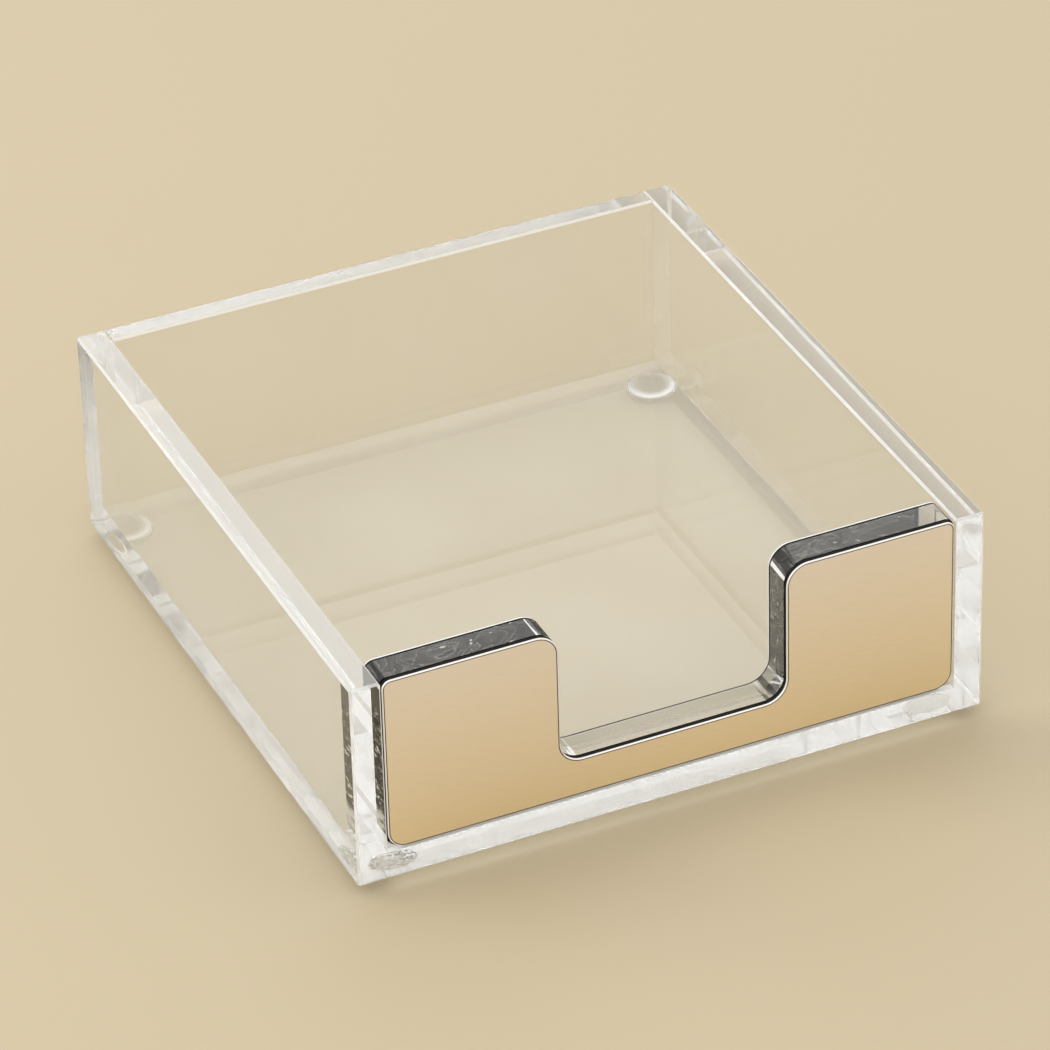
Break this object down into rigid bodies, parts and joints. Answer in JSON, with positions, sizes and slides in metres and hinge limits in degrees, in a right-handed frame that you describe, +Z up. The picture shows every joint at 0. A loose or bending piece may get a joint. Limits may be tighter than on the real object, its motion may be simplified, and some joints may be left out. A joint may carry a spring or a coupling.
{
  "type": "memo pad tray",
  "caption": "Open-top clear tray for loose square notes, with a thumb notch cut in its gold-faced front and small clear bumpers under its floor.",
  "frame": {"origin": "middle of the tray's footprint, on the surface that the bumpers stand on", "axes": "+Z up, +Y to the back, +X to the right as seen from the notched front"},
  "size_m": [0.086, 0.09, 0.0308],
  "materials": {
    "clear_acrylic": "polished clear cast acrylic sheet",
    "gold_plate": "satin gold anodised face with a fine grain and bright cut edges",
    "dark_film": "dark pressure-sensitive adhesive film, blotchy where it wets the sheet",
    "clear_rubber": "soft clear bumper",
    "foot_adhesive": "stippled clear adhesive"
  },
  "bodies": {
    "root": {"base_plate": "clear_acrylic", "left_wall": "clear_acrylic", "right_wall": "clear_acrylic", "back_wall": "clear_acrylic", "front_panel": "clear_acrylic", "face_film": "dark_film", "face_plate": "gold_plate", "foot_front_left": "clear_rubber", "foot_film_front_left": "foot_adhesive", "foot_front_right": "clear_rubber", "foot_film_front_right": "foot_adhesive", "foot_back_left": "clear_rubber", "foot_film_back_left": "foot_adhesive", "foot_back_right": "clear_rubber", "foot_film_back_right": "foot_adhesive"}
  },
  "joints": []
}
